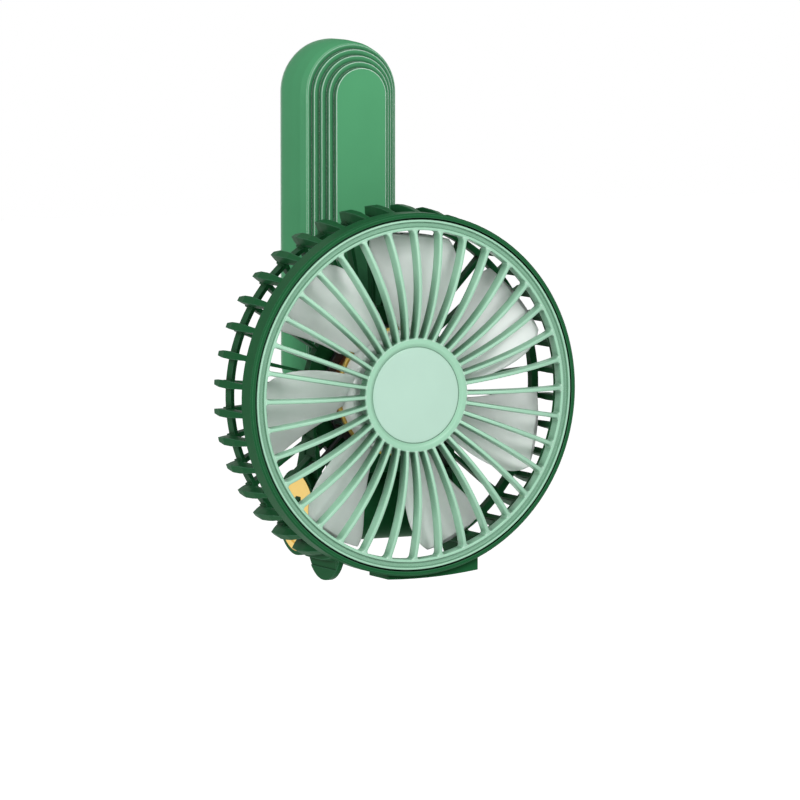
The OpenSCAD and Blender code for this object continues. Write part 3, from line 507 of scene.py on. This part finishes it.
# %% The hub ring, the seat and the whole grille
HUB_IN, SLOPE_FOOT, SLOPE_R, RING_R, RING_FOOT, HUB_BACK = 13.95, -0.1, 14.9, 16.5, 16.6, 2.9
SEAT_R, SEAT_FRONT, SEAT_BACK = 14.3, 0.6, 2.8
hub = turned(rounded([
    (HUB_IN, HUB_BACK, 0.1), (HUB_IN, SLOPE_FOOT, 0.05), (SLOPE_R, -RISE, 0.3), (RING_R, -RISE, 0.5),
    (RING_FOOT, HUB_BACK, 0.2)]), HUB_SIDES)
seat = turned([(AXIS_R, SEAT_FRONT), (SEAT_R, SEAT_FRONT), (SEAT_R, SEAT_BACK), (AXIS_R, SEAT_BACK)],
              SEAT_SIDES)
solid("grille", ribs + [(rim, True, True, False), (hub, True, True, False), (seat, False, True, True)],
      "head", MINT, "front_grille")

# %% [markdown]
# The badge is a plain disc let into the hub ring. A flat one would take a
# single tone all over. This one is domed by a tenth of a millimetre, which is
# enough to let the light fade across it, and its edge rolls over to the side.

# %% The badge
FACE_R, DOME, FACE_FRONT, FACE_ROWS = 13.4, 0.1, 0.28, 12
BADGE_R, BADGE_BACK = 13.9, 0.58
r = np.linspace(AXIS_R, FACE_R, FACE_ROWS)
face = [(a, DOME * (a / FACE_R) ** 2 - FACE_FRONT) for a in r]
side = [(13.7, -0.15), (13.85, -0.05), (BADGE_R, 0.1), (BADGE_R, 0.5), (13.8, BADGE_BACK),
        (AXIS_R, BADGE_BACK)]
solid("badge", [(turned(face + side, DISC_SIDES), False, True, True)],
      "head", MINT_PALE, "hub_badge")

# %% [markdown]
# An impeller blade is a thin skin over a helix. Its angle about the axis grows
# with its depth, it leans back towards the tip, and its thickness fades to
# round edges, so light shines through the rim of each blade.

# %% One blade
CUP_R, TIP_R, SUNK, BLADE_FRONT, BLADE_DEPTH = 18.0, 46.3, 0.5, 4.8, 8.8
BLADE_TURN, HALF_THICK, THINNING, LEAN = math.radians(36), 1.2, 0.35, 0.42
ROOT_R, ROOT_SPAN, ROOT_CUT, TIP_TRIM, TIP_POWER = 19.2, 1.5, 0.2, 0.12, 8
LEAN_START, BLADE_ROWS, BLADE_COLS = 0.4, 30, 44


def blade_grid(start):
    """A blade as a tube of outlines from root to tip: angle = start + lean(r)
    + turn * (v - half), depth = front + v * depth, offset to each side by a
    thickness that is an ellipse over the chord. The root is cut short at the
    back, where it would meet the motor."""
    u = np.linspace(0, 1, BLADE_ROWS)[:, None]
    a = np.linspace(0, 2 * np.pi, BLADE_COLS, endpoint=False)[None, :]
    r = CUP_R - SUNK + (TIP_R - CUP_R + SUNK) * u
    trim = TIP_TRIM * u ** TIP_POWER
    v = (0.5 + (0.5 - trim) * np.cos(a)) * (1 - ROOT_CUT + ROOT_CUT * np.clip((r - ROOT_R) / ROOT_SPAN, 0, 1))
    thick = HALF_THICK * np.sin(a) * (1 - THINNING * u)
    lean = LEAN * (r - CUP_R + LEAN_START) ** 2 / TIP_R / r
    angle = start + lean + BLADE_TURN * (v - 0.5) + thick / r
    d = BLADE_FRONT + BLADE_DEPTH * v
    return np.stack([r * np.cos(angle) * MM, front_y + d * MM, axis_z + r * np.sin(angle) * MM], -1)

# %% [markdown]
# The blades stand on a cup that covers the motor, with a small boss inside it
# for the shaft. Cup and blades are one moulding, so they are one piece. A
# blade's foot sinks half a millimetre into the cup, which hides where they
# meet.

# %% The impeller
BLADES, CUP_FRONT, CUP_FLOOR, CUP_BACK, CUP_BORE = 7, 4.62, 6.1, 12.15, 16.8
BOSS_R, BOSS_BACK, SHAFT_BORE, BORE_END, NOSE_R = 3.5, 11.15, 1.05, 6.2, 16.9
cup = np.concatenate([[(AXIS_R, CUP_FRONT)], rounded([
    (NOSE_R, CUP_FRONT, 0.1), (CUP_R, CUP_FRONT, 1.0), (CUP_R, CUP_BACK, 0.3), (CUP_BORE, CUP_BACK, 0.3),
    (CUP_BORE, CUP_FLOOR, 0.5), (BOSS_R, CUP_FLOOR, 0.4), (BOSS_R, BOSS_BACK, 0.2),
    (SHAFT_BORE, BOSS_BACK, 0.1), (SHAFT_BORE, BORE_END, 0.1)]), [(AXIS_R, BORE_END)]])
blades = [(blade_grid(2 * math.pi * (0.5 - k) / BLADES), False, True, True) for k in range(BLADES)]
solid("fan_wheel", [(turned(cup, DISC_SIDES), False, True, True)] + blades,
      "impeller", MILK, "impeller")

# %% [markdown]
# The studio is white. Light from an all white room would wash out the greens,
# so the white is there only for rays that look at the backdrop: from the
# camera, or mirrored in metal or clear plastic. All others see a dimmer sky.

# %% A backdrop for some rays
def shows_backdrop(tree):
    """1 for camera, glossy and transmission rays, and 0 for diffuse ones."""
    rays = tree.nodes.new("ShaderNodeLightPath")
    both, every = (tree.nodes.new("ShaderNodeMath") for _ in range(2))
    for node in (both, every):
        node.operation, node.use_clamp = "ADD", True
    join(tree, (rays, "Is Camera Ray", both, 0), (rays, "Is Glossy Ray", both, 1),
         (both, "Value", every, 0), (rays, "Is Transmission Ray", every, 1))
    return every


SKY_LIGHT, SKY_SHOWN = 0.30, 1.0
world = bpy.data.worlds.new("studio")
bpy.context.scene.world = world
world.use_nodes = True
sky = world.node_tree
level = node_of(sky, "ShaderNodeMapRange", To_Min=SKY_LIGHT, To_Max=SKY_SHOWN)
background = sky.nodes["Background"]
background.inputs["Color"].default_value = (1, 1, 1, 1)
join(sky, (shows_backdrop(sky), "Value", level, "Value"), (level, "Result", background, "Strength"))
print("sky made")

# %% [markdown]
# The floor is pale paper with a faint grain. It could stand right under the
# fan, but then the unfolded handle, which reaches down below the head, would
# go through it. So it lies low.

# %% The floor
FLOOR_Z, FLOOR_HALF, PAPER_GLOW = -0.13, 3.0, 0.78
PAPER_ROUGH, PAPER_GLOSS, PAPER_DARK, PAPER_LIGHT, PAPER_GRAIN = 0.9, 0.1, 0.80, 0.84, 90.0
white, tree, paper = finish_of("studio_floor")
paper.inputs["Roughness"].default_value = PAPER_ROUGH
paper.inputs["Specular IOR Level"].default_value = PAPER_GLOSS
paper.inputs["Emission Color"].default_value = (1, 1, 1, 1)
grain = node_of(tree, "ShaderNodeTexNoise", Scale=PAPER_GRAIN, Detail=GRAIN_DETAIL)
tone = node_of(tree, "ShaderNodeMapRange", To_Min=PAPER_DARK, To_Max=PAPER_LIGHT)
glow = node_of(tree, "ShaderNodeMapRange", To_Max=PAPER_GLOW)
spot = tree.nodes.new("ShaderNodeTexCoord")
join(tree, (spot, "Object", grain, "Vector"), (grain, "Fac", tone, "Value"),
     (tone, "Result", paper, "Base Color"), (shows_backdrop(tree), "Value", glow, "Value"),
     (glow, "Result", paper, "Emission Strength"))
x, y = np.meshgrid([-FLOOR_HALF, FLOOR_HALF], [-FLOOR_HALF, FLOOR_HALF], indexing="ij")
ground = bpy.data.meshes.new("floor")
ground.from_pydata(np.stack([x, y, 0 * x + FLOOR_Z], -1).reshape(-1, 3).tolist(), [], [[0, 2, 3, 1]])
ground.materials.append(white)
floor = bpy.data.objects.new("floor", ground)
bpy.context.scene.collection.objects.link(floor)
print("floor at", FLOOR_Z)

# %% [markdown]
# One soft lamp stands in front and above. A second one on the left rakes over
# the ribs, so that they show their round fronts.

# %% The lamps
def lamp(name, place, size, power):
    """A square soft lamp that faces the middle of the fan."""
    light = bpy.data.lights.new(name, "AREA")
    light.size, light.energy = size, power
    thing = bpy.data.objects.new(name, light)
    bpy.context.scene.collection.objects.link(thing)
    thing.location = place
    facing = Vector((0, 0, axis_z)) - Vector(place)
    thing.rotation_mode = "QUATERNION"
    thing.rotation_quaternion = facing.to_track_quat("-Z", "Y")


lamp("key", place=(0.15, -0.85, 0.55), size=0.45, power=5.1)
lamp("side", place=(-0.85, -0.55, 0.3), size=0.3, power=4.5)
print("lamps set")

# %% [markdown]
# The camera looks from the left and a little from above, through a long lens,
# because the real picture has almost no perspective. Its three directions come
# from the turn and the tilt, and it is shifted until the hub lies at its place
# in the picture.

# %% The camera
TURN, TILT = math.radians(-26.96), math.radians(5.67)
PICTURE, PX_PER_M, HUB_X, HUB_Y = 800, 3476.0, 415.7, 395.2
LENS, SENSOR, FAR = 300, 36, 50
right = np.array([math.cos(TURN), math.sin(TURN), 0])
up = np.array([-math.sin(TILT) * math.sin(TURN), math.sin(TILT) * math.cos(TURN), math.cos(TILT)])
back = np.cross(right, up)
aim = np.array([0, front_y, axis_z])
aim = aim + right * (PICTURE / 2 - HUB_X) / PX_PER_M + up * (HUB_Y - PICTURE / 2) / PX_PER_M
view = bpy.data.cameras.new("camera")
view.lens, view.sensor_width, view.clip_end = LENS, SENSOR, FAR
camera = bpy.data.objects.new("camera", view)
bpy.context.scene.collection.objects.link(camera)
camera.location = aim + back * (PICTURE / PX_PER_M * LENS / SENSOR)
camera.rotation_mode = "QUATERNION"
camera.rotation_quaternion = Matrix(np.stack([right, up, back], 1).tolist()).to_quaternion()
bpy.context.scene.camera = camera
bpy.context.scene.view_settings.view_transform = "Standard"
print("camera", [round(float(c), 3) for c in camera.location])

# %% [markdown]
# Last, a line says that the scene is built.

# %% The end
print("scene built")
